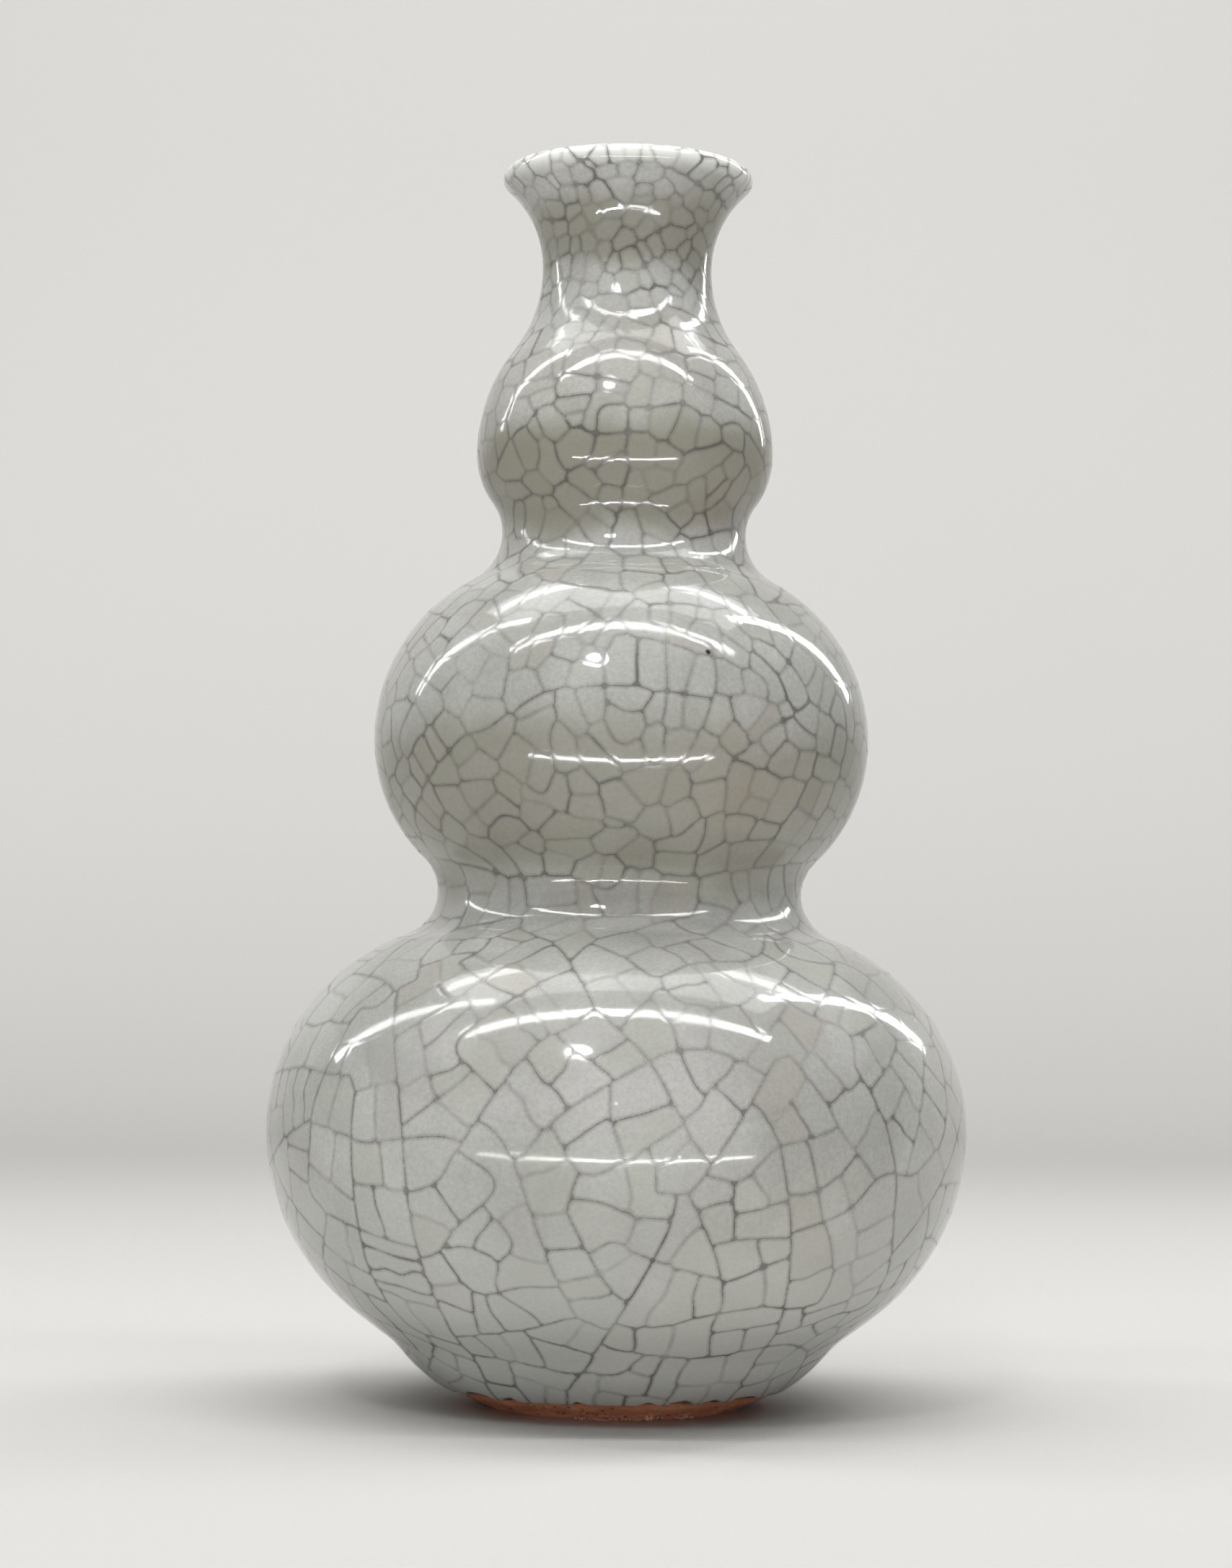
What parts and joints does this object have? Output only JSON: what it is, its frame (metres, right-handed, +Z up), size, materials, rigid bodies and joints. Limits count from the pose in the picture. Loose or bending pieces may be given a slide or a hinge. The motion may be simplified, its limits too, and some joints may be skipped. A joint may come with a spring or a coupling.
{
  "type": "triple gourd vase",
  "caption": "Crackle-glazed stoneware gourd vase of stacked bulbs with a flared mouth and a bare turned foot; holds water and flowers, or stands as an ornament.",
  "frame": {"origin": "centre of the foot, on the plane that the vase stands on", "axes": "+Z up along the axis of the vase, -Y towards the side that the picture shows"},
  "size_m": [0.147, 0.147, 0.26],
  "materials": {
    "crackle_glaze": "glossy pale grey glaze with a dark stained crackle",
    "lining_glaze": "glossy pale grey glaze with a fine crackle",
    "clay_body": "fired grey-brown stoneware, under the glaze",
    "bare_foot_clay": "bare stoneware fired red-brown, turned and matt",
    "luting_slip": "fired clay slip, matt",
    "kiln_grit": "sintered pale grit, rough"
  },
  "bodies": {
    "root": {"base_glaze": "lining_glaze", "foot_ring": "bare_foot_clay", "foot_seam": "luting_slip", "inner_glaze": "lining_glaze", "kiln_grit": "kiln_grit", "lower_belly_seam": "luting_slip", "lower_bowl": "clay_body", "lower_dome": "clay_body", "lower_waist_seam": "luting_slip", "middle_belly_seam": "luting_slip", "middle_bowl": "clay_body", "middle_dome": "clay_body", "neck_and_mouth": "clay_body", "neck_seam": "luting_slip", "outer_glaze": "crackle_glaze", "upper_bulb": "clay_body", "upper_waist_seam": "luting_slip"}
  },
  "joints": []
}
